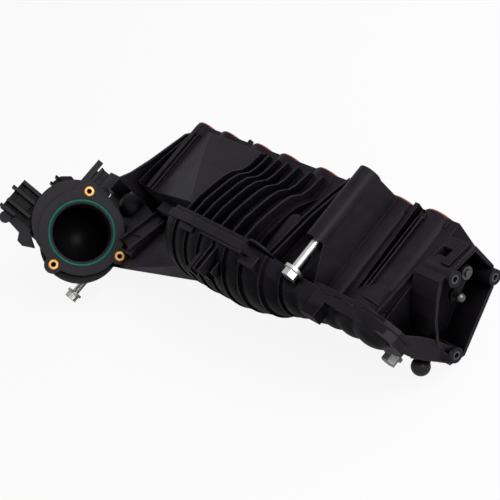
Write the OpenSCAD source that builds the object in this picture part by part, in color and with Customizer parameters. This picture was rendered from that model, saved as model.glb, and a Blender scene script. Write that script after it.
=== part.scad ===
// Air intake manifold of a four-cylinder engine, two ports to a cylinder.
// X runs along the row of cylinders, +Y points into the cylinder head,
// +Z is the ribbed top side. The origin is the middle of the port face.

/* [Port row] */
// distance between neighbouring engine cylinders
cyl_pitch = 91; // [85:0.5:97]
// distance between the two ports of one cylinder
port_gap = 40; // [38:0.5:42]
// inside diameter of a runner
bore_d = 28; // [24:0.5:29]
// outside diameter of the ring round a port
ring_d = 35; // [34:0.5:38]
// depth from the port face to the weld line
weld_y = 98; // [94:1:104]

/* [Mouldings] */
// thickness of the moulded walls
wall = 3; // [2.5:0.25:3.5]
// thickness of the thin ribs
rib_t = 2; // [1.5:0.1:2.5]
// thickness of each half of the weld flange
flange_t = 4; // [3:0.5:6]

/* [Throttle side] */
// inside diameter of the throttle opening
inlet_d = 58; // [54:1:60]
// cord thickness of the throttle seal
seal_cord = 2.8; // [2.4:0.1:3]
// outside diameter of a brass insert
insert_d = 10.6; // [9:0.1:12]
// thread bore of a brass insert
insert_bore = 5; // [4:0.1:6]

/* [Bolts] */
// shank diameter of the captive bolts
bolt_d = 7; // [6:0.5:8]
// length of a bolt under its head
bolt_len = 88; // [85:1:95]
// how far the bolts stand out of their sleeves
bolt_out = 27; // [10:1:36]

/* [Swirl flaps] */
// diameter of the flap shaft
shaft_d = 6; // [5:0.25:7]
// distance of the flap shaft behind the port face
shaft_y = 29; // [27:0.5:31]
// length of the crank lever
lever_len = 18; // [16:0.5:20]

/* [Output] */
// which sub-part to build

/* [Hidden] */
$fn = 96;
eps = 0.01;
black = [0.09, 0.09, 0.1];
steel = [0.75, 0.76, 0.78];
// half length of the row, to the middle of the outermost port
row = 1.5 * cyl_pitch + port_gap / 2;
// the middles of the eight ports
ports = [for (c = [-1.5 : 1 : 1.5]) for (s = [-0.5, 0.5]) c * cyl_pitch + s * port_gap];
// one port of each cylinder has a swirl flap
flap_ports = [for (c = [-1.5 : 1 : 1.5]) c * cyl_pitch + port_gap / 2];
// places along the row are set for a row of this half length and stretch with it
row_ref = 156.5;
function at(x) = x * row / row_ref;
// places across the upper moulding are set for this depth and stretch with it
weld_ref = 98;
function up(p) = [for (q = p) [q[0] * weld_y / weld_ref, q[1]]];
// the lower moulding follows the weld line
low_shift = weld_ref - weld_y;
function low(p) = [for (q = p) [q[0] + low_shift, q[1]]];
// left end of the deep middle body
body_left = at(-62);
// middle line of the round plenum, beside the row
bowl_y = -92;
bowl_z = 11;
// left and right ends of the plenum
bowl_left = body_left + at(1);
bowl_right = at(194);
// throttle flange: its middle, its lean, and the place and hole depth of each insert
inlet_at = [at(-78) - 132, -151 + low_shift, 7.5];
inlet_lean = 58;
insert_spots = [[-20.7, 36.2, 12.5], [43, 6.1, 13.2], [-1.1, -41.4, 13.9]];
insert_len = 12;
seal_r = inlet_d / 2 + seal_cord / 2 + 1.4;
// tall bolt bosses: place along the row, height, and length behind the port face
centre_spot = [at(101), 40, 69];
right_spot = [at(169.6), -30, 73];
left_spot = [inlet_at[0] - 42, -60];
boss_len = 69;
left_seat = -169 + low_shift;
sleeve_r = bolt_d / 2 + 1.9;
sleeve_gap = 0.35;
// locating pegs in the port face, each in a shallow round recess
peg_places = [at(-91), at(91)];
peg_z = 7;
peg_r = 2.6;
// actuator bay: its mouth and its three screw bosses, each with its place and hole depth
bay_x0 = at(180);
bay_x1 = bay_x0 + 30;
bay_screws = [[-42, 13, 17], [-15.5, -21, 18.5], [-76.5, -39.5, 16]];
screw_bore = 4.4;
bay_outline = [[-37, 17], [-12, 12], [-9, -16], [-19, -31], [-70, -52], [-84, -45],
  [-84, -23], [-72, -2], [-62, 10], [-51, 20]];
lever_x = bay_x1 - 7;

// solid across the row: a side outline from x0 to x1
module across(x0, x1, pts) {
  translate([x0, 0, 0])
    rotate([90, 0, 90])
      linear_extrude(x1 - x0)
        polygon(pts);
}
// solid facing the head: a front outline from y0 to y1
module facing(y0, y1, pts) {
  translate([0, y1, 0])
    rotate([90, 0, 0])
      linear_extrude(y1 - y0)
        polygon(pts);
}
// round bar along the port direction
module bar_y(r, y0, y1) {
  translate([0, y1, 0])
    rotate([90, 0, 0])
      cylinder(r = r, h = y1 - y0);
}
// round bar along the row
module bar_x(r, x0, x1) {
  translate([x0, 0, 0])
    rotate([0, 90, 0])
      cylinder(r = r, h = x1 - x0);
}
// round rod between two points
module rod(p, q, r) {
  d = q - p;
  translate(p)
    rotate([0, acos(d[2] / norm(d)), atan2(d[1], d[0])])
      cylinder(r = r, h = norm(d));
}
// turned body round the plenum middle line from [x, radius] points
module turned(pts) {
  translate([0, bowl_y + low_shift, bowl_z])
    rotate([0, 90, 0])
      rotate_extrude($fn = 128)
        polygon([for (q = pts) [q[1], q[0]]]);
}
// places its children in the frame of the throttle flange, flange face at zero
module on_inlet() {
  translate(inlet_at)
    rotate([0, inlet_lean, 0])
      children();
}

// ---- upper shell ------------------------------------------------------
shell_side = [[-9, 0], [-9, 17.5], [-28, 18], [-36, 24], [-44, 29], [-52, 32],
  [-64, 34.5], [-78, 36.5], [-94.5, 37], [-94.5, 0]];
rib_side = [[-9, 10], [-9, 23.5], [-26, 26], [-33, 28.5], [-41, 36], [-50.5, 40],
  [-63.5, 43], [-78, 46], [-94.5, 46.5], [-94.5, 10]];
bulge_hollow = [[-99, 0], [-99, 34], [-78, 33.5], [-64, 31.5], [-54, 29.5], [-46, 26],
  [-40, 20], [-38, 10], [-38, 0]];
main_hollow = [[-99, 11], [-44, 11], [-38, 6], [-38, -14], [-46, -20], [-72, -26], [-99, -30]];
right_hollow = [[-99, 11], [-44, 11], [-38, 6], [-38, -14], [-46, -17], [-99, -18.5]];
left_hollow = [[-79, 10], [-44, 10], [-38, 6], [-38, -14], [-46, -20], [-79, -26]];
outer_hollow = [[-79, 0], [-38, 0], [-38, -14], [-46, -20], [-79, -26]];
rib_places = [-46.5, -35.5, -22.5, -9.5, 5.5, 22, 38.5];
// outline of the weld flange, seen along the ports
flange_outline = [[-56, -36], [-62, -30], [-62, 43], [-56, 50], [-20, 51.5], [48, 50], [62, 44],
  [80, 30], [110, 26], [116, 30], [128, 31], [156, 31], [176, 28], [191, 23], [200, 13], [202, 2],
  [197, -7], [188, -10], [150, -12], [110, -20], [84, -33]];

module flange_shape(y0, y1) {
  facing(y0, y1, [for (q = flange_outline) [at(q[0]), q[1]]]);
}
module tall_boss(spot) {
  translate([spot[0], 0, spot[1]])
    bar_y(sleeve_r + 4.6, -spot[2], 0);
}
module upper_outside() {
  // port flange and the body behind it, low beside the first runner
  facing(-8, 0, [[at(-170), -13], [at(-170), 9], [at(-160), 13], [at(172), 13], [at(172), -13]]);
  across(at(-177.5), at(-136), up([[0, -16], [0, 3], [-82, 3], [-82, -30], [-45, -24], [-20, -18]]));
  across(at(-137), body_left + 1, up([[0, -16], [0, 12], [-12, 14], [-82, 14], [-82, -30],
    [-45, -24], [-20, -18]]));
  across(body_left, at(100), up([[0, -16], [0, 12], [-95, 12], [-95, -33], [-70, -29], [-45, -24],
    [-20, -18]]));
  across(at(99), bay_x0, up([[0, -16], [0, 12], [-95, 12], [-95, -22], [-20, -18]]));
  translate([ports[0], 0, 0]) {
    bar_y(ring_d / 2, -12, 0);
    bar_y(ring_d / 2 - 1.6, -82 * weld_y / weld_ref, -11);
  }
  for (k = [1 : 7])
    translate([ports[k], 0, 0])
      bar_y(ring_d / 2, k < 3 ? -82 * weld_y / weld_ref : -weld_y + flange_t - eps, 0);
  // shelf between the first runners and the weld flange
  across(at(-136), body_left + 1, up([[-81, 1], [-81, 8], [-95, 9], [-95, 1]]));
  // bulge over the middle runners, its sloping left flank and the thin ribs
  across(at(-50), at(46), up(shell_side));
  intersection() {
    across(at(-150), at(-49), up([[-6, 0], [-6, 17.5], [-40, 24], [-82, 34], [-82, 0]]));
    facing(-weld_y, 0, [[at(-150), 0], [at(-150), 14], [at(-75), 32], [at(-49), 36], [at(-49), 0]]);
  }
  across(body_left, at(-49), up([[-78, 0], [-78, 33], [-95, 36], [-95, 0]]));
  for (x = rib_places)
    translate([at(x), 0, 0])
      across(-rib_t / 2, rib_t / 2, up(rib_side));
  // land right of the bulge, with its rounded pad and two fins
  across(at(45), at(86), up([[-8, 0], [-8, 16.5], [-30, 18], [-50, 24], [-70, 28], [-95, 29], [-95, 0]]));
  translate([at(54), 0, 27])
    bar_y(8, -weld_y + flange_t, -58);
  translate([at(54), -58, 27])
    sphere(r = 8);
  for (x = [64, 70])
    translate([at(x), 0, 0])
      across(-rib_t / 2, rib_t / 2, up([[-1, 0], [-1, 21], [-20, 27], [-50, 34], [-95, 40], [-95, 0]]));
  // tall boss with its foot, and the tent that runs down to the next port
  tall_boss(centre_spot);
  across(centre_spot[0] - 8, centre_spot[0] + 8, up([[-1, 0], [-1, 40], [-68, 40], [-70, 28],
    [-95, 25], [-95, 0]]));
  intersection() {
    facing(-weld_y, -1, [[centre_spot[0], 0], [centre_spot[0], 46], [centre_spot[0] + 8, 46],
      [at(119), 15], [at(126), 12], [at(126), 0]]);
    across(at(80), at(140), up([[-1, 0], [-1, 50], [-60, 46], [-95, 28], [-95, 0]]));
  }
  // deep channels and long bars beside the last runner
  for (b = [[138.5, 4, 20, 16, 0], [146.5, 2, 17, 16, -4], [151, 3, 19, 17, -6], [174, 2.5, 12, 20, -24]])
    across(at(b[0]), at(b[0]) + b[1], up([[b[4], 0], [b[4], b[2]], [-94.5, b[3]], [-94.5, 0]]));
  // flare where the last runner meets the weld flange
  translate([at(156.5), -weld_y + flange_t, 0])
    rotate([-90, 0, 0])
      cylinder(r1 = 26, r2 = ring_d / 2, h = 24);
  // left end: tall gusset, its rib, and the ridges along the first runner
  across(at(-180), at(-177), up([[-8, -17], [-8, 5], [-14, 10], [-58, 22], [-80, 29.5], [-92, 36],
    [-92, -34], [-60, -28]]));
  across(at(-173), at(-171.5), up([[-18, 0], [-18, 11], [-55, 18], [-82, 21], [-82, 0]]));
  for (r = [[-164.5, 3, 16], [-160, 5, 18.5], [-153.5, 3, 17]])
    facing(-82 * weld_y / weld_ref, -3, [[at(r[0]), 0], [at(r[0]), r[2]], [at(r[0]) + r[1], r[2]],
      [at(r[0]) + r[1], 0]]);
  // weld flange
  flange_shape(-weld_y, -weld_y + flange_t);
  // tall boss under the last runner
  tall_boss(right_spot);
  across(right_spot[0] - 5, right_spot[0] + 5, up([[-1, -10], [-1, -30], [-72, -30], [-90, -20],
    [-90, -10]]));
}
module upper_shell() {
  color(black)
    difference() {
      upper_outside();
      for (x = ports)
        translate([x, 0, 0])
          bar_y(bore_d / 2, -60, 1);
      across(body_left + 5, at(98), up(main_hollow));
      across(at(97), at(176), up(right_hollow));
      across(at(-172), at(-134), up(outer_hollow));
      across(at(-135), body_left + 6, up(left_hollow));
      // mouth of the inlet duct
      duct_mouth();
      across(at(-48), at(43), up(bulge_hollow));
      // seats for the bolt sleeves
      for (s = [centre_spot, right_spot])
        translate([s[0], 0, s[1]]) {
          bar_y(sleeve_r, -s[2] - 30, 1);
          bar_y(9.6, -weld_y - 10, -s[2]);
        }
      below_weld(-weld_y);
      // groove for each port seal
      for (x = ports)
        translate([x, 0, 0])
          difference() {
            bar_y(bore_d / 2 + 2.6, -2, 1);
            bar_y(bore_d / 2 + 1.2, -3, 2);
          }
      for (x = peg_places)
        translate([x, 0, peg_z])
          bar_y(peg_r + 1, -1, 1);
      // shaft bore and its bush seats
      translate([0, -shaft_y, 0])
        bar_x(shaft_d / 2 + 0.4, ports[0] - 21, bay_x0 + 10);
    }
}

// ---- lower shell ------------------------------------------------------
// creases of the plenum and the radius at each, with a bulging lobe between neighbours
creases = [[-61, 37.5], [-43, 39.9], [-24, 40.2], [-5, 40.7], [13, 40], [32, 40.2], [51, 37.8], [73, 33.5],
  [90, 27], [107, 24], [128, 20.5], [146, 19.3], [166, 19.3], [188, 19.4]];
lobe_rise = 2.2;
function lobe(a, b) = [for (t = [0.04 : 0.115 : 0.96])
  [at(a[0] + t * (b[0] - a[0])), a[1] + t * (b[1] - a[1]) + lobe_rise * 4 * t * (1 - t)]];
bowl_profile = concat([[bowl_left, 0]],
  [for (k = [0 : len(creases) - 2]) for (q = lobe(creases[k], creases[k + 1])) q],
  [[bowl_right, 15], [bowl_right, 0]]);
bowl_inner = concat([[bowl_left + wall, 0]],
  [for (q = creases) [max(bowl_left + wall, at(q[0])), q[1] - wall]],
  [[bowl_right - wall, 12], [bowl_right - wall, 0]]);
bowl_ribs = [for (k = [1 : 8]) [creases[k][0], creases[k][1] + 2.6]];

module below_weld(y) {
  translate([at(-300), y - 100, -150])
    cube([at(600), 100, 300]);
}
module lower_shell() {
  color(black)
    difference() {
      union() {
        intersection() {
          union() {
            turned(bowl_profile);
            for (r = bowl_ribs)
              translate([at(r[0]), bowl_y + low_shift, bowl_z])
                bar_x(r[1], -rib_t / 2, rib_t / 2);
          }
          below_weld(-weld_y);
        }
        flange_shape(-weld_y - flange_t - 4, -weld_y);
        // the lower flange stands out past the upper one beside the bulge
        facing(-weld_y - flange_t - 4, -weld_y - 1, [[at(-61), 40], [at(-55), 53], [at(-20), 55],
          [at(49), 54],
          [at(62), 46], [at(62), 30], [at(-61), 30]]);
        // clip block that laps the weld flange
        translate([at(124), -weld_y - 22, 20])
          cube([15, 22, 11]);
        // screw channel down the front of the plenum
        translate([at(14), -134 + low_shift, 30])
          cube([7, 134 - weld_ref, 17]);
      }
      intersection() {
        turned(bowl_inner);
        below_weld(-weld_y + 1);
      }
      duct_mouth();
      // room for the tall bolts
      for (s = [centre_spot, right_spot])
        translate([s[0], 0, s[1]])
          bar_y(9.5, -weld_y - 60, -weld_y + 1);
    }
}

// ---- inlet elbow and duct ---------------------------------------------
elbow_mid = [inlet_at[0] - 42 * sin(inlet_lean), inlet_at[1], inlet_at[2] - 42 * cos(inlet_lean)];
duct_end = body_left - 0.2;
// radius of the throttle flange and the seat of the hose clip
disc_r = inlet_d / 2 + 13;
lug_y = inlet_d / 2 + 17.4;
// underside of the plug holder, just clear of its pad, and its shift with the flange radius
plug_z = -16 + eps;
plug_x = 42 - disc_r;
// the duct seen from the ribbed side and from the front, w is taken off all round
module duct(w) {
  x = elbow_mid[0];
  d = low_shift;
  intersection() {
    translate([0, 0, -90])
      linear_extrude(120)
        polygon([[x, -120 + d - w], [x + 38, -114 + d - w], [at(-178), -104 + d - w],
          [at(-150), -83 + d - w], [duct_end, -83 + d - w], [duct_end, -127 + d + w],
          [at(-190), -157 + d + w], [x + 24, -172 + d + w], [x, -176 + d + w]]);
    facing(-220 + d, -60 + d, [[x, -22 - w], [x + 38, -24 - w], [at(-190), -36 - w],
      [at(-166), -29 - w], [duct_end, -2 - w], [duct_end, -27 + w], [at(-190), -68 + w],
      [x, -56 + w]]);
    // underside leans back under the front edge
    translate([at(-190), -157 + d, -33])
      rotate([0, 0, 15])
        rotate([34, 0, 0])
          translate([-160, w, -160])
            cube([400, 220, 320]);
  }
}
// opening that the duct's inside leaves in the end wall of the plenum
module duct_mouth() {
  translate([duct_end, 0, 0])
    rotate([90, 0, 90])
      linear_extrude(8)
        polygon([[-86, -23], [-86, -5], [-123, -5], [-123, -23]]);
}
module elbow_outside() {
  on_inlet() {
    translate([0, 0, -9])
      cylinder(r = disc_r, h = 9);
    translate([-12, 4, -8.6])
      cylinder(r = disc_r - 0.2, h = 7.6);
    translate([6, -8, -24])
      cylinder(r = disc_r - 2.5, h = 15.3);
    // lug under the hose clip and pad under the plug holder
    translate([-34, 24, -9])
      cube([24, lug_y - 24, 8.5]);
    translate([plug_x - 57, -32.5, plug_z - eps - 13.5])
      cube([31, 34.3, 13.5]);
    for (s = insert_spots)
      translate([s[0], s[1], -16])
        cylinder(r = insert_d / 2 + 3.4, h = 16);
    translate([0, 0, -42])
      cylinder(r = inlet_d / 2 + wall + 3, h = 42);
  }
  translate(elbow_mid)
    sphere(r = inlet_d / 2 + wall + 5);
  duct(0);
  // bar beside the duct seam and the seam rib
  translate([at(-176.7), -140 + low_shift, -44])
    cube([12, 57.7, 22]);
  // web with a dome and a block between the throttle flange and the first runner
  translate([0, 0, -26])
    linear_extrude(6)
      polygon([[elbow_mid[0] - 20, -76 + low_shift], [at(-180), -76 + low_shift],
        [at(-180), -92.6 + low_shift],
        [at(-160), -92.6 + low_shift], [at(-160), -118 + low_shift], [elbow_mid[0], -130 + low_shift]]);
  translate([at(-214), -95 + low_shift, -22])
    sphere(r = 15);
  translate([at(-254), -96 + low_shift, -24])
    cube([20, 16, 24]);
  // ear for the support bolt
  translate([left_spot[0], 0, left_spot[1]])
    bar_y(sleeve_r + 4.6, left_seat, left_seat + boss_len);
  translate([left_spot[0] - 4, left_seat + 4, left_spot[1]])
    cube([8, boss_len - 12, 48]);
}
module inlet_elbow() {
  color(black)
    difference() {
      elbow_outside();
      on_inlet() {
        translate([0, 0, -42])
          cylinder(r = inlet_d / 2, h = 43);
        // seal groove and insert seats
        translate([0, 0, -1.8])
          difference() {
            cylinder(r = seal_r + seal_cord / 2, h = 3);
            translate([0, 0, -1])
              cylinder(r = seal_r - seal_cord / 2, h = 5);
          }
        for (s = insert_spots)
          translate([s[0], s[1], -s[2]])
            cylinder(r = insert_d / 2, h = s[2] + 1);
      }
      translate(elbow_mid)
        sphere(r = inlet_d / 2 + 1);
      duct(wall);
      translate([left_spot[0], 0, left_spot[1]])
        bar_y(sleeve_r, left_seat - 1, left_seat + boss_len + 1);
    }
}

// ---- actuator bay -----------------------------------------------------
bay_inside = [[-38, 13.8], [-14.8, 9], [-12, -15], [-21, -28.2], [-70, -48.6], [-81, -43],
  [-81, -22], [-69.4, -2.6], [-60, 7.8], [-50, 16.5]];
module actuator_bay() {
  color(black)
    difference() {
      union() {
        across(bay_x0, bay_x1 - 4, bay_outline);
        for (s = bay_screws)
          translate([0, s[0], s[1]])
            bar_x(6.2, bay_x0 + 2, bay_x1);
        translate([bay_x0 + 8, 0, -41])
          bar_y(6, -87, -78);
        // thick arm from the weld flange to the lowest screw boss
        rod([bay_x0 + 5, -91.5, -24], [bay_x1 - 3, -77.5, -37.5], 7.5);
      }
      difference() {
        across(bay_x0 + wall, bay_x1, bay_inside);
        for (s = bay_screws)
          translate([0, s[0], s[1]])
            bar_x(6.2, bay_x0, bay_x1 + 1);
      }
      for (s = bay_screws)
        translate([0, s[0], s[1]])
          bar_x(screw_bore / 2 + 1.2, bay_x1 - s[2], bay_x1 + 1);
      translate([0, -shaft_y, 0])
        bar_x(shaft_d / 2 + 2.5, bay_x0 - 1, bay_x0 + wall + 1);
      // window and slit in the top wall
      translate([bay_x0 + 4, -30, 4])
        cube([8.5, 7, 20]);
      translate([bay_x0 + 22.5, -28, 4])
        cube([3, 12, 20]);
    }
}

// ---- seals, inserts and fittings --------------------------------------
module port_seals() {
  color([0.75, 0.2, 0.1])
    for (x = ports)
      translate([x, 0, 0])
        difference() {
          bar_y(bore_d / 2 + 2.6, -2, 1.3);
          bar_y(bore_d / 2 + 1.2, -3, 3);
        }
}
module throttle_seal() {
  color([0.1, 0.55, 0.4])
    on_inlet()
      translate([0, 0, seal_cord / 2 - 1.8])
        rotate_extrude()
          translate([seal_r, 0])
            circle(r = seal_cord / 2);
}
module throttle_inserts() {
  color([0.8, 0.62, 0.3])
    on_inlet()
      for (s = insert_spots)
        translate([s[0], s[1], -insert_len])
          difference() {
            cylinder(r = insert_d / 2, h = insert_len + 0.3);
            translate([0, 0, -1])
              cylinder(r = insert_bore / 2, h = insert_len + 3);
          }
}
module boss_inserts() {
  color([0.8, 0.62, 0.3])
    for (s = bay_screws)
      translate([0, s[0], s[1]])
        difference() {
          bar_x(screw_bore / 2 + 1.2, bay_x1 - 14, bay_x1);
          bar_x(screw_bore / 2, bay_x1 - 15, bay_x1 + 1);
        }
}
module locating_pegs() {
  color(black)
    for (x = peg_places)
      translate([x, 0, peg_z])
        bar_y(peg_r, -1, 5);
}
module cover_ball() {
  color([0.12, 0.12, 0.13])
    translate([bay_x0 + 8, 0, -41]) {
      translate([0, -96, 0])
        sphere(r = 7.5);
      bar_y(4, -92, -87);
    }
}
// bracket with walls that hold a wiring plug, beside the throttle flange
module plug_holder() {
  color(black)
    on_inlet()
      translate([plug_x, 0, 0]) {
        translate([0, 0, plug_z])
          linear_extrude(6)
            polygon([[-76, -31], [-76, 5], [-36.5, 5], [-36.5, -31]]);
        // end block and rounded lobe
        translate([0, 0, plug_z])
          linear_extrude(9)
            polygon([[-68, -29], [-66, -37], [-61, -36], [-47, -38], [-43, -45], [-36, -46], [-25, -40],
              [-39, -31], [-39, -29]]);
        translate([-66.5, -35, plug_z])
          cylinder(r = 5.6, h = 11);
        // walls: place across, outer end, inner end
        for (w = [[0.5, -75, -54.6], [-9, -80, -53], [-22, -76, -48], [-30, -78, -60]])
          translate([w[1], w[0], plug_z])
            cube([w[2] - w[1], 3, 15]);
        translate([-70, -20, plug_z])
          cube([16, 21, 9]);
      }
}
// blade and channel that hold a hose, on the rim of the throttle flange
module hose_clip() {
  color(black)
    on_inlet() {
      translate([-34, lug_y, -10])
        cube([24, 5, 8]);
      translate([-34, lug_y, -9])
        cube([6, 20, 8.4]);
      translate([-26.5, lug_y, -9])
        cube([13.5, 16, 5]);
      for (x = [-26.5, -16])
        translate([x, lug_y, -9])
          cube([3, 16, 9]);
    }
}

// ---- swirl flaps ------------------------------------------------------
flap_t = 1.6;
flap_r = bore_d / 2 - 0.35;
shaft_x0 = ports[0] - 21;
module flap_shaft() {
  color(steel)
    translate([0, -shaft_y, 0])
      difference() {
        bar_x(shaft_d / 2, shaft_x0, lever_x + 3);
        for (x = flap_ports)
          translate([x - flap_r, -flap_t / 2, -shaft_d])
            cube([2 * flap_r, flap_t, 2 * shaft_d]);
      }
}
module flap_plates() {
  color([0.6, 0.61, 0.62])
    for (x = flap_ports)
      translate([x, -shaft_y, 0])
        bar_y(flap_r, -flap_t / 2, flap_t / 2);
}
module shaft_bushes() {
  color([0.85, 0.83, 0.76])
    translate([0, -shaft_y, 0])
      for (x = [shaft_x0, bay_x0 - 3])
        difference() {
          bar_x(shaft_d / 2 + 2.5, x, x + 6);
          bar_x(shaft_d / 2 + 0.05, x - 1, x + 7);
        }
}
lever_tilt = 18;
module crank_lever() {
  color([0.15, 0.15, 0.16])
    translate([0, -shaft_y, 0])
      rotate([lever_tilt, 0, 0])
        difference() {
          union() {
            bar_x(6, lever_x - 3, lever_x);
            translate([0, -lever_len, 0])
              bar_x(4.5, lever_x - 3, lever_x);
            translate([lever_x - 3, -lever_len, -4])
              cube([3, lever_len, 8]);
          }
          bar_x(shaft_d / 2 + 0.05, lever_x - 4, lever_x + 1);
        }
}
module lever_ball() {
  color(steel)
    translate([0, -shaft_y, 0])
      rotate([lever_tilt, 0, 0])
        translate([0, -lever_len, 0]) {
          bar_x(2.2, lever_x, lever_x + 3);
          translate([lever_x + 5, 0, 0])
            sphere(r = 3.6);
        }
}
module lever_clip() {
  color([0.8, 0.81, 0.83])
    translate([0, -shaft_y, 0])
      difference() {
        bar_x(5.2, lever_x + 0.2, lever_x + 1.4);
        bar_x(shaft_d / 2 + 0.05, lever_x - 1, lever_x + 3);
      }
}

// ---- captive bolts ----------------------------------------------------
module hexagon(af, h) {
  r = af / sqrt(3);
  linear_extrude(h)
    polygon([for (k = [0 : 5]) [r * cos(60 * k), r * sin(60 * k)]]);
}
// bolt pointing along +Y, underside of its head at the origin
module bolt() {
  color(steel)
    rotate([-90, 0, 0]) {
      cylinder(r = bolt_d / 2, h = bolt_len);
      translate([0, 0, -2.4])
        cylinder(r = bolt_d / 2 + 4.5, h = 2.4);
      translate([0, 0, -8.4])
        hexagon(bolt_d + 4, 6.01);
    }
}
module centre_bolt() {
  translate([centre_spot[0], -centre_spot[2] - bolt_out, centre_spot[1]])
    bolt();
}
module right_bolt() {
  translate([right_spot[0], -right_spot[2] - bolt_out, right_spot[1]])
    bolt();
}
module left_bolt() {
  translate([left_spot[0], left_seat - bolt_out, left_spot[1]])
    bolt();
}
keeper_len = 5;
module tube_y(r1, r2, y0, y1) {
  difference() {
    bar_y(r2, y0, y1);
    bar_y(r1, y0 - 1, y1 + 1);
  }
}
module bolt_sleeves() {
  color(steel) {
    for (s = [centre_spot, right_spot])
      translate([s[0], 0, s[1]])
        tube_y(bolt_d / 2 + sleeve_gap, sleeve_r, -s[2] + keeper_len, 0);
    translate([left_spot[0], left_seat + boss_len, left_spot[1]])
      tube_y(bolt_d / 2 + sleeve_gap, sleeve_r, -boss_len + keeper_len, 0);
  }
}
module bolt_keepers() {
  color([0.85, 0.83, 0.76]) {
    for (s = [centre_spot, right_spot])
      translate([s[0], -s[2], s[1]])
        tube_y(bolt_d / 2 + 0.05, sleeve_r, 0, keeper_len);
    translate([left_spot[0], left_seat, left_spot[1]])
      tube_y(bolt_d / 2 + 0.05, sleeve_r, 0, keeper_len);
  }
}

upper_shell();
lower_shell();
inlet_elbow();
actuator_bay();
port_seals();
throttle_seal();
throttle_inserts();
boss_inserts();
locating_pegs();
cover_ball();
plug_holder();
hose_clip();
flap_shaft();
flap_plates();
shaft_bushes();
crank_lever();
lever_ball();
lever_clip();
centre_bolt();
right_bolt();
left_bolt();
bolt_sleeves();
bolt_keepers();
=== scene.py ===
"""Looks of a four-cylinder intake manifold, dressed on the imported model.

The added pieces are drawn in millimetres in the part's own frame: X along the
cylinders towards the actuator bay, Y out of the ports, Z towards the ribbed side.
"""

import math

import bmesh
import bpy
from mathutils import Matrix, Vector


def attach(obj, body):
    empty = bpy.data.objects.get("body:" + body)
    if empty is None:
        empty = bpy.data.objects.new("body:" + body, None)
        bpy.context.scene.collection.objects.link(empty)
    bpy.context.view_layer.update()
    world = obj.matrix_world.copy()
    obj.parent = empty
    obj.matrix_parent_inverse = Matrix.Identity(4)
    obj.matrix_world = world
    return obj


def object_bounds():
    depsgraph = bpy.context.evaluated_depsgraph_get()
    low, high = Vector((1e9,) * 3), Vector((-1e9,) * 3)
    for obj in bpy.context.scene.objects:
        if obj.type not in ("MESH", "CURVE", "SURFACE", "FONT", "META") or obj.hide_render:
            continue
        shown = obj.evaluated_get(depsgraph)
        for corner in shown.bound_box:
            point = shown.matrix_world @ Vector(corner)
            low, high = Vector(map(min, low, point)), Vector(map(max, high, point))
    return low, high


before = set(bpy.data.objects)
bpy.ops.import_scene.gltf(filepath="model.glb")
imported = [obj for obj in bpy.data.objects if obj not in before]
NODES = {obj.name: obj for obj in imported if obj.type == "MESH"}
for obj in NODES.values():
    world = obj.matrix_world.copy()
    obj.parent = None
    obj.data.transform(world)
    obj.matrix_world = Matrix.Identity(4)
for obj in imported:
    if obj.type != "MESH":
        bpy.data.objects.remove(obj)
CAD_LOW, CAD_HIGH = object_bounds()
MM = 0.001

# ---------------------------------------------------------------- camera
# the camera's own axes and its place, in the part's frame and in metres
CAMERA_PLACE = (0.7070, -0.2559, 0.5904)
RIGHT = Vector((0.584, 0.6195, -0.5244))
UP = Vector((-0.2955, 0.764, 0.5734))
BACK = Vector((0.756, -0.180, 0.6293))
camera = bpy.data.objects.new("camera", bpy.data.cameras.new("camera"))
bpy.context.scene.collection.objects.link(camera)
bpy.context.scene.camera = camera
turn = Matrix((RIGHT, UP, BACK)).transposed()
camera.matrix_world = Matrix.Translation(CAMERA_PLACE) @ turn.to_4x4()
camera.data.lens = 79.2
camera.data.sensor_width = 36
camera.data.clip_start = 0.02
camera.data.clip_end = 50


# ---------------------------------------------------------------- materials
SHADER_SAMPLES = 4    # rays per point of the soft edges and of the hollows


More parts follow.
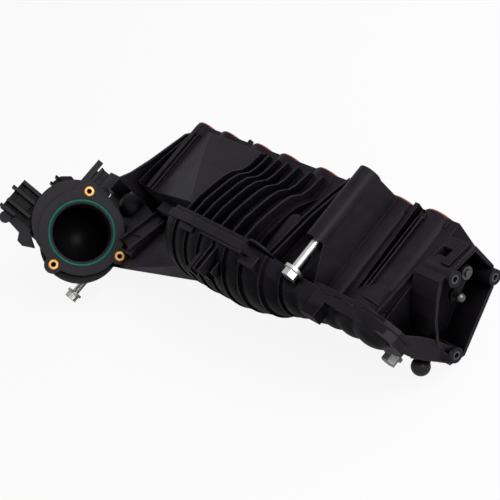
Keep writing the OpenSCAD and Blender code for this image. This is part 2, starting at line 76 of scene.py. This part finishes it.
class Shade:
    """A Principled material whose inputs are wired by short calls."""

    def __init__(self, name, colour, roughness, metallic=0.0, **fixed):
        self.material = bpy.data.materials.new(name)
        self.material.use_nodes = True
        self.tree = self.material.node_tree
        self.shader = self.tree.nodes["Principled BSDF"]
        self.shader.inputs["Base Color"].default_value = (*colour, 1)
        self.shader.inputs["Roughness"].default_value = roughness
        self.shader.inputs["Metallic"].default_value = metallic
        for key, value in fixed.items():
            self.shader.inputs[key.replace("_", " ")].default_value = value
        self.coords = self.add("ShaderNodeTexCoord").outputs["Object"]
        self.colour = None
        self.normal = None

    def add(self, kind, **settings):
        node = self.tree.nodes.new(kind)
        for key, value in settings.items():
            setattr(node, key, value)
        return node

    def link(self, a, b):
        self.tree.links.new(a, b)

    def noise(self, scale, detail=3, rough=0.55, stretch=(1, 1, 1)):
        """Noise in the part's own coordinates; the scale counts its features per metre."""
        mapping = self.add("ShaderNodeMapping")
        mapping.inputs["Scale"].default_value = stretch
        self.link(self.coords, mapping.inputs["Vector"])
        texture = self.add("ShaderNodeTexNoise")
        texture.inputs["Scale"].default_value = scale
        texture.inputs["Detail"].default_value = detail
        texture.inputs["Roughness"].default_value = rough
        self.link(mapping.outputs["Vector"], texture.inputs["Vector"])
        return texture.outputs["Fac"]

    def spread(self, value, low, high, start=0.3, end=0.7):
        """Turns the range from start to end of a value into the range from low to high."""
        ramp = self.add("ShaderNodeMapRange")
        ramp.inputs["From Min"].default_value = start
        ramp.inputs["From Max"].default_value = end
        ramp.inputs["To Min"].default_value = low
        ramp.inputs["To Max"].default_value = high
        self.link(value, ramp.inputs["Value"])
        return ramp.outputs["Result"]

    def blend(self, amount, other):
        """Mixes another colour over what the base colour is so far."""
        mix = self.add("ShaderNodeMix", data_type="RGBA")
        self.link(amount, mix.inputs["Factor"])
        base = self.shader.inputs["Base Color"]
        if self.colour is None:
            mix.inputs["A"].default_value = base.default_value
        else:
            self.link(self.colour, mix.inputs["A"])
        mix.inputs["B"].default_value = (*other, 1)
        self.colour = mix.outputs["Result"]
        self.link(self.colour, base)

    def rough(self, value):
        self.link(value, self.shader.inputs["Roughness"])

    def bump(self, height, distance, strength):
        """Adds relief on top of the soft edges and of any earlier relief."""
        relief = self.add("ShaderNodeBump")
        relief.inputs["Distance"].default_value = distance
        relief.inputs["Strength"].default_value = strength
        self.link(height, relief.inputs["Height"])
        self.link(self.normal, relief.inputs["Normal"])
        self.normal = relief.outputs["Normal"]
        self.link(self.normal, self.shader.inputs["Normal"])

    def soft_edges(self, radius):
        """Rounds every edge in the shading, and returns how near an edge a point lies."""
        bevel = self.add("ShaderNodeBevel", samples=SHADER_SAMPLES)
        bevel.inputs["Radius"].default_value = radius
        geo = self.add("ShaderNodeNewGeometry")
        dot = self.add("ShaderNodeVectorMath", operation="DOT_PRODUCT")
        self.link(bevel.outputs["Normal"], dot.inputs[0])
        self.link(geo.outputs["Normal"], dot.inputs[1])
        self.normal = bevel.outputs["Normal"]
        self.link(self.normal, self.shader.inputs["Normal"])
        return self.spread(dot.outputs["Value"], 1, 0, 0.90, 0.998)

    def painted_light_ramp(self, axis, start, end, colour):
        """Painted light and shade: turns towards another colour along one axis of the part, in
        metres.
        """
        parts = self.add("ShaderNodeSeparateXYZ")
        self.link(self.coords, parts.inputs[0])
        self.blend(self.spread(parts.outputs[axis], 0, 1, start, end), colour)

    def painted_shade_in_hollows(self, reach, start, end):
        """How deep in a corner or channel a point lies, from its own surroundings: the mask of
        painted shade.
        """
        near = self.add("ShaderNodeAmbientOcclusion", samples=SHADER_SAMPLES)
        near.inputs["Distance"].default_value = reach
        return self.spread(near.outputs["AO"], 0.95, 0, start, end)


def shift(colour, gain, lift=0.0):
    """The same colour, brighter or darker."""
    return tuple(min(1, c * gain + lift) for c in colour)


def moulded(name, colour, roughness, grain=1.0, painted_light_ramp=None, deep=0):
    """Glass-filled nylon: satin, slightly mottled, with flow marks, scuffed edges with a painted
    highlight, and painted shade in its hollows.

    painted_light_ramp is the axis, the start, the end and the colour of a second tone that paints
    light and shade along that axis, and deep the reach of a wide hollow given painted shade, in
    metres.
    """
    s = Shade(name, colour, roughness, Specular_IOR_Level=0.045)
    edge = s.soft_edges(0.0007)
    mottle_share, speck_share = 0.6, 0.35
    if painted_light_ramp:
        s.painted_light_ramp(*painted_light_ramp)
        mottle_share, speck_share = 0.25, 0.12
    # cloudy tone and fine pale specks
    mottled = s.noise(38, 5, 0.65)
    s.blend(s.spread(mottled, 0, mottle_share, 0.42, 0.72), shift(colour, 1.55, 0.004))
    speck = s.noise(900, 2, 0.6)
    s.blend(s.spread(speck, 0, speck_share, 0.60, 0.75), shift(colour, 2.4, 0.01))
    # edges pale, partly rubbed wear and partly painted highlight, more in places than in others
    edge_wear_and_highlight = s.add("ShaderNodeMath", operation="MULTIPLY")
    s.link(edge, edge_wear_and_highlight.inputs[0])
    s.link(s.spread(s.noise(120, 3), 0.25, 1, 0.38, 0.60), edge_wear_and_highlight.inputs[1])
    s.blend(s.spread(edge_wear_and_highlight.outputs[0], 0, 0.75, 0, 1), shift(colour, 3.2, 0.035))
    s.rough(s.spread(mottled, roughness - 0.07, roughness + 0.12))
    # painted shade in corners and channels
    s.blend(s.painted_shade_in_hollows(0.022, 0.42, 0.92), shift(colour, 0.06))
    # painted shade deeper in wide hollows, where deep is given
    if deep:
        s.blend(s.painted_shade_in_hollows(deep, 0.15, 0.55), shift(colour, 0.05))
    # broad flow marks, then the moulded grain
    flow = s.noise(14, 4, 0.6, (1, 3.5, 1))
    s.bump(flow, 0.0012, 0.18 * grain)
    s.bump(s.noise(1500, 2, 0.7), 0.00008, 0.55 * grain)
    return s.material


def rubber(name, colour, gloss=0.16):
    """Soft rubber with a slightly cloudy, uneven sheen."""
    s = Shade(name, colour, 0.38, Specular_IOR_Level=gloss)
    s.soft_edges(0.0005)
    s.blend(s.spread(s.noise(160, 4), 0, 0.5), shift(colour, 0.62))
    s.rough(s.spread(s.noise(90, 3), 0.30, 0.50))
    s.bump(s.noise(1300, 2), 0.00006, 0.4)
    return s.material


def metal(name, colour, roughness, scratch=(1, 1, 1), dark=0.55):
    """Worn metal; scratch stretches its fine marks, dark is how far its stains go."""
    s = Shade(name, colour, roughness, 1.0)
    s.soft_edges(0.0004)
    s.blend(s.spread(s.noise(260, 5, 0.7), 0, 0.55), shift(colour, dark))
    s.rough(s.spread(s.noise(180, 4), roughness - 0.08, roughness + 0.16))
    s.bump(s.noise(700, 3, 0.6, scratch), 0.00006, 0.45)
    return s.material


# deep adds painted shade in wide hollows
NYLON = moulded("black_nylon", (0.0120, 0.0100, 0.0136), 0.35, deep=0.05)
# painted shade: darker below the weld flange, where the lobes hang down
NYLON_SHADED_BELOW = moulded("black_nylon_shaded_below", (0.0120, 0.0102, 0.0133), 0.35,
                      painted_light_ramp=("Y", -0.1085, -0.1120, (0.0018, 0.0012, 0.0022)))
# painted light: a paler base than the other nylon, and paler still along the duct than round the
# throttle; painted shade deep in the bore
NYLON_INLET_LIT = moulded("black_nylon_inlet_lit", (0.0190, 0.0172, 0.0197), 0.37,
                      painted_light_ramp=("X", -0.190, -0.170, (0.0400, 0.0335, 0.0425)), deep=0.09)
# deep adds painted shade inside the bay
NYLON_BAY = moulded("black_nylon_bay", (0.0108, 0.0092, 0.0120), 0.36, deep=0.07)
SMALL_BLACK = moulded("black_small_parts", (0.0070, 0.0068, 0.0072), 0.45)
SEAL_ORANGE = rubber("seal_orange", (0.30, 0.050, 0.026))
SEAL_GREEN = rubber("seal_green", (0.004, 0.105, 0.072))
BRASS = metal("brass", (0.30, 0.165, 0.055), 0.34, scratch=(1, 1, 6))
ZINC = metal("zinc_plate", (0.46, 0.46, 0.455), 0.30, scratch=(1, 8, 1), dark=0.66)
BALL_RUBBER = rubber("ball_rubber", (0.0075, 0.0070, 0.0078), gloss=0.22)
ZINC_DULL = metal("zinc_plate_dull", (0.34, 0.34, 0.335), 0.34, scratch=(1, 8, 1),
                  dark=0.62)
STEEL = metal("steel", (0.40, 0.40, 0.41), 0.30, scratch=(6, 1, 1), dark=0.6)
DARK_STEEL = metal("dark_steel", (0.10, 0.10, 0.105), 0.36, scratch=(6, 1, 1), dark=0.5)
# painted shadow in the joint between the two shells
SEAM_SHADOW = moulded("seam_shadow", (0.0022, 0.0020, 0.0024), 0.6, grain=0.3)
THREAD = metal("brass_thread", (0.16, 0.065, 0.018), 0.40)

FINISH = {
    "upper_shell": NYLON,
    "lower_shell": NYLON_SHADED_BELOW,
    "inlet_elbow": NYLON_INLET_LIT,
    "actuator_bay": NYLON_BAY,
    "port_seals": SEAL_ORANGE,
    "throttle_seal": SEAL_GREEN,
    "throttle_inserts": BRASS,
    "boss_inserts": DARK_STEEL,
    "flap_shaft": DARK_STEEL,
    "flap_plates": SMALL_BLACK,
    "shaft_bushes": SMALL_BLACK,
    "crank_lever": SMALL_BLACK,
    "lever_ball": DARK_STEEL,
    "lever_clip": DARK_STEEL,
    "centre_bolt": ZINC,
    "right_bolt": ZINC_DULL,
    "left_bolt": ZINC_DULL,
    "bolt_sleeves": STEEL,
    "bolt_keepers": SMALL_BLACK,
    "cover_ball": BALL_RUBBER,
    "locating_pegs": NYLON,
    "plug_holder": NYLON_INLET_LIT,
    "hose_clip": NYLON_INLET_LIT,
}
for node, finish in FINISH.items():
    slots = NODES[node].data.materials
    slots.clear()
    slots.append(finish)


# ---------------------------------------------------------------- fine forms
def add_piece(name, bm, finish, bevel=0.0):
    """Makes an object in metres from a mesh drawn in millimetres."""
    bmesh.ops.recalc_face_normals(bm, faces=bm.faces)
    bmesh.ops.scale(bm, vec=(MM, MM, MM), verts=bm.verts)
    mesh = bpy.data.meshes.new(name)
    bm.to_mesh(mesh)
    bm.free()
    piece = bpy.data.objects.new(name, mesh)
    bpy.context.scene.collection.objects.link(piece)
    mesh.materials.append(finish)
    if bevel:
        soft = piece.modifiers.new("edges", "BEVEL")
        soft.width = bevel * MM
        soft.segments = 2
        soft.limit_method = "ANGLE"
    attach(piece, "housing")
    return piece


def loft(bm, loops, closed=False):
    """Skins loops of the same number of points, with a cap at each open end."""
    rows = [[bm.verts.new(q) for q in loop] for loop in loops]
    pairs = list(zip(rows, rows[1:]))
    if closed:
        pairs.append((rows[-1], rows[0]))
    count = len(rows[0])
    for a, b in pairs:
        for k in range(count):
            after = (k + 1) % count
            bm.faces.new((a[k], a[after], b[after], b[k]))
    if not closed:
        bm.faces.new(rows[0])
        bm.faces.new(rows[-1])


def boxes(*corners):
    """A new mesh of plain boxes, each given by its low and its high corner."""
    bm = bmesh.new()
    for (x0, y0, z0), (x1, y1, z1) in corners:
        loft(bm, [[(x0, y, z0), (x1, y, z0), (x1, y, z1), (x0, y, z1)] for y in (y0, y1)])
    return bm


def plate(bm, outline, low, high):
    """A plate with its outline in X and Z, from one Y to another."""
    loft(bm, [[(x, y, z) for x, z in outline] for y in (low, high)])


def prism(bm, outline, low, high, place=None):
    """A prism along Z, or along the axis of the throttle where a place is given."""
    loops = [[Vector((x, y, z)) for x, y in outline] for z in (low, high)]
    if place:
        loops = [[place @ q for q in loop] for loop in loops]
    loft(bm, loops)


def full_turn(steps):
    """Evenly spaced angles round a circle."""
    return [math.tau * j / steps for j in range(steps)]


def bead(bm, points, radius, sides=8, closed=False):
    """A round bead along a line of points."""
    loops = []
    last = len(points) - 1
    for k, q in enumerate(points):
        before = points[k - 1] if k or closed else q
        after = points[(k + 1) % len(points)] if k < last or closed else q
        along = (after - before).normalized()
        side = along.orthogonal() if not loops else along.cross(side).cross(along)
        side.normalize()
        other = along.cross(side)
        loops.append([q + radius * (math.cos(a) * side + math.sin(a) * other)
                      for a in full_turn(sides)])
    loft(bm, loops, closed)


# the joint between the two shells: its place along Y, and its flange's outline in X and Z
WELD_Y = -98
FLANGE = [(-56, -36), (-62, -30), (-62, 43), (-56, 50), (-20, 51.5), (48, 50), (62, 44),
          (80, 30), (110, 26), (116, 30), (128, 31), (156, 31), (176, 28), (191, 23), (200, 13),
          (202, 2), (197, -7), (188, -10), (150, -12), (110, -20), (84, -33)]

# the throttle's own frame: its face at the origin, its axis Z leaning towards X
LEAN = math.radians(58)
INLET = Matrix(((math.cos(LEAN), 0, math.sin(LEAN), -210), (0, 1, 0, -151),
                (-math.sin(LEAN), 0, math.cos(LEAN), 7.5), (0, 0, 0, 1)))


def throttle_circle(centre, radius, height, steps=32):
    """A circle round a spot of the throttle flange, at a height over its face."""
    x, y = centre
    return [INLET @ Vector((x + radius * math.cos(a), y + radius * math.sin(a), height))
            for a in full_turn(steps)]


def weld_seam_shadow():
    """Dark sheet of painted shadow where the flanges of the two shells meet, a little proud of
    both.
    """
    proud, half_height = 0.25, 0.55
    middle_x, middle_z = 70, 8
    outline = [(x + (proud if x > middle_x else -proud), z + (proud if z > middle_z else -proud))
               for x, z in FLANGE]
    bm = bmesh.new()
    plate(bm, outline, WELD_Y - half_height, WELD_Y + half_height)
    add_piece("weld_seam_shadow", bm, SEAM_SHADOW)


def flange_tabs():
    """Tabs and a lug under the ribbed edge of the weld flange."""
    under = WELD_Y - 7
    bm = boxes(((-32, WELD_Y - 13.5, 46), (-14, under, 52.5)),
               ((-2, WELD_Y - 10.5, 44), (54, under, 53.3)),
               ((50, WELD_Y - 15.5, 36), (69, WELD_Y - 4, 47.5)))
    add_piece("flange_tabs", bm, NYLON, 0.6)


def channel_rails():
    """Two rails of the screw channel under the flange, and a rib on each side of them."""
    bm = boxes(*(((x, -136, 40), (x + 1.8, -106.5, 49.2)) for x in (14, 20.6)),
               ((0, -137, 33), (4.5, -116, 43)),
               ((26, -131, 33), (28, -110, 42)))
    add_piece("channel_rails", bm, NYLON, 0.4)


def flange_ear():
    """Round ear on the weld flange, right of the ribs."""
    middle_x, middle_z, radius = 62, 45, 12.5
    outline = [(middle_x + radius * math.cos(a), middle_z + radius * math.sin(a))
               for a in full_turn(48)]
    bm = bmesh.new()
    plate(bm, outline, WELD_Y + 1.6, WELD_Y + 3.4)
    add_piece("flange_ear", bm, NYLON_SHADED_BELOW, 0.5)


def bay_band():
    """Band that sweeps from the weld flange down to the lowest screw boss of the bay."""
    top = [(180, -98, 27), (191, -98, 22.5), (199, -97.5, 13), (203, -88, 1), (205, -80, -13),
           (206.5, -76, -27), (207, -72, -36)]
    bottom = [(180, -106, 27), (191, -106, 22.5), (199, -106, 12), (203, -105, -1),
              (205, -99, -16), (206.5, -90, -31), (207, -82, -42)]
    back_x, back_z, taper = 8, 4, 1
    bm = bmesh.new()
    loft(bm, [[t, b, (b[0] - back_x, b[1] + taper, b[2] - back_z),
               (t[0] - back_x, t[1] - taper, t[2] - back_z)] for t, b in zip(top, bottom)])
    band = add_piece("bay_band", bm, NYLON, 1.2)
    smooth = band.modifiers.new("round", "SUBSURF")
    smooth.levels = smooth.render_levels = 2


def runner_rails():
    """Narrow rails beside the last runner."""
    bm = boxes(((147.4, -92, 13.2), (148.8, -10, 18.6)),
               ((152.4, -93.5, 15.6), (154.0, -9, 20.0)))
    add_piece("runner_rails", bm, NYLON, 0.4)


def runner_collars():
    """Two quarter collars round the lower end of the last runner."""
    runner_x = 156.5
    turns = [math.radians(d) for d in range(4, 86, 6)]
    bm = bmesh.new()
    for radius, y in ((27.5, -92.5), (23.5, -86)):
        bead(bm, [Vector((runner_x + radius * math.cos(a), y, radius * math.sin(a)))
                  for a in turns], 0.9)
    add_piece("runner_collars", bm, NYLON)


def bay_lip():
    """Stepped lips beside the window and the slit in the sloping top wall of the bay."""
    foot, wall, slope, slope_start = 16.6, 17, 0.2, 37
    # from X, to X, from Y, to Y, and the rise over the wall
    lips = ((193.8, 201.6, -36.5, -13.5, 1.3), (182.2, 183.6, -33, -20, 1.0),
            (183.6, 193.8, -22.4, -20.6, 1.0), (205.0, 206.0, -30, -13, 1.3))
    bm = bmesh.new()
    for x0, x1, y0, y1, rise in lips:
        drop0, drop1 = slope * (y0 + slope_start), slope * (y1 + slope_start)
        outline = [(y0, foot - drop0), (y0, wall + rise - drop0),
                   (y1, wall + rise - drop1), (y1, foot - drop1)]
        loft(bm, [[(x, y, z) for y, z in outline] for x in (x0, x1)])
    add_piece("bay_lip", bm, NYLON_BAY, 0.3)


def bore_steps():
    """Two round steps inside the throttle bore."""
    bore_radius = 28.8
    bm = bmesh.new()
    for height in (-7, -24):
        bead(bm, throttle_circle((0, 0), bore_radius, height), 0.7, closed=True)
    add_piece("bore_steps", bm, NYLON_INLET_LIT)


def insert_threads():
    """Threads as stacked rings inside the throttle's brass inserts, each with a rim."""
    spots = ((-20.7, 36.2), (43, 6.1), (-1.1, -41.4))
    hole_radius, rim_radius = 2.5, 4.95
    turns, first, pitch = 5, -0.5, 0.8
    bm = bmesh.new()
    for spot in spots:
        for turn_no in range(turns):
            ring = throttle_circle(spot, hole_radius, first - pitch * turn_no, 24)
            bead(bm, ring, 0.28, 6, closed=True)
        bead(bm, throttle_circle(spot, rim_radius, 0.25), 0.42, closed=True)
    add_piece("insert_threads", bm, THREAD)


def duct_ridges():
    """Flat band with two ridges that runs up the duct from the throttle flange."""
    bm = bmesh.new()
    prism(bm, [(-189, -131), (-169, -136), (-152, -94), (-171, -90)], -27, -21)
    prism(bm, [(-190.5, -131), (-187.5, -131.8), (-169.5, -90.3), (-172.5, -89.6)], -28, -16.5)
    prism(bm, [(-170.5, -135.6), (-167.5, -136.4), (-150.5, -94.4), (-153.5, -93.6)], -30, -17.5)
    add_piece("duct_ridges", bm, NYLON_INLET_LIT, 0.6)


def elbow_lump():
    """Rounded lump with two ribs behind the top of the throttle flange."""
    back = -27
    bm = bmesh.new()
    prism(bm, [(-28, 12), (-50, 15), (-54, 22), (-52, 31), (-44, 38), (-28, 35)], back, -13, INLET)
    for y in (19, 27):
        prism(bm, [(-56, y), (-30, y), (-30, y + 2.2), (-56, y + 2.2)], back, -10.5, INLET)
    add_piece("elbow_lump", bm, NYLON_SHADED_BELOW, 1.0)


def clip_fillers():
    """Fillers that join the hose clip to the rim of the throttle flange."""
    bm = bmesh.new()
    prism(bm, [(-28.3, 45), (-26.2, 45), (-26.2, 57.5), (-28.3, 57.5)], -8.8, -4.2, INLET)
    prism(bm, [(-12, 38), (-2, 38), (-3, 50), (-12, 53)], -14, -9.4, INLET)
    add_piece("clip_fillers", bm, NYLON_INLET_LIT, 0.4)


for make_piece in (weld_seam_shadow, flange_tabs, channel_rails, flange_ear, bay_band, runner_rails,
                   runner_collars, bay_lip, bore_steps, insert_threads, duct_ridges, elbow_lump,
                   clip_fillers):
    make_piece()


# ---------------------------------------------------------------- floor and light
FLOOR_HALF = 6
FLOOR_GAP = 0.0005
FLOOR_WHITE = 0.90
SKY_LIGHT = 0.24
SKY_SEEN = 1.0
LAMP_AIM = Vector((0, -0.05, 0))


def backdrop():
    """A plain white floor that shows white to the camera and keeps the shadow."""
    bm = bmesh.new()
    bmesh.ops.create_grid(bm, x_segments=1, y_segments=1, size=FLOOR_HALF)
    mesh = bpy.data.meshes.new("floor")
    bm.to_mesh(mesh)
    bm.free()
    floor = bpy.data.objects.new("floor", mesh)
    floor.location = (0, 0, CAD_LOW.z - FLOOR_GAP)
    bpy.context.scene.collection.objects.link(floor)
    s = Shade("floor_white", (0.86, 0.86, 0.86), 0.8)
    white = s.add("ShaderNodeEmission")
    seen_by = s.add("ShaderNodeLightPath")
    share = s.spread(seen_by.outputs["Is Camera Ray"], 0, FLOOR_WHITE, 0, 1)
    both = s.add("ShaderNodeMixShader")
    s.link(share, both.inputs[0])
    s.link(s.shader.outputs[0], both.inputs[1])
    s.link(white.outputs[0], both.inputs[2])
    s.link(both.outputs[0], s.tree.nodes["Material Output"].inputs["Surface"])
    floor.data.materials.append(s.material)


def studio():
    """A plain grey light from all round that the camera and reflections see as white."""
    world = bpy.data.worlds.new("studio")
    bpy.context.scene.world = world
    world.use_nodes = True
    sky = world.node_tree
    path = sky.nodes.new("ShaderNodeLightPath")
    seen = sky.nodes.new("ShaderNodeMath")
    seen.operation = "MAXIMUM"
    sky.links.new(path.outputs["Is Camera Ray"], seen.inputs[0])
    sky.links.new(path.outputs["Is Glossy Ray"], seen.inputs[1])
    level = sky.nodes.new("ShaderNodeMapRange")
    level.inputs["To Min"].default_value = SKY_LIGHT
    level.inputs["To Max"].default_value = SKY_SEEN
    sky.links.new(seen.outputs[0], level.inputs["Value"])
    background = sky.nodes["Background"]
    sky.links.new(level.outputs["Result"], background.inputs["Strength"])
    background.inputs["Color"].default_value = (1, 1, 1, 1)


def lamp(name, place, side, power):
    """A square lamp that faces the middle of the manifold."""
    data = bpy.data.lights.new(name, "AREA")
    data.size = side
    data.energy = power
    holder = bpy.data.objects.new(name, data)
    holder.location = place
    holder.rotation_mode = "QUATERNION"
    holder.rotation_quaternion = (LAMP_AIM - Vector(place)).to_track_quat("-Z", "Y")
    bpy.context.scene.collection.objects.link(holder)


backdrop()
studio()
lamp("key", (1.40, 0.45, 1.10), 1.0, 31)
lamp("top", (0.25, 0.95, 1.2), 1.5, 5)

bpy.context.scene.view_settings.view_transform = "Standard"
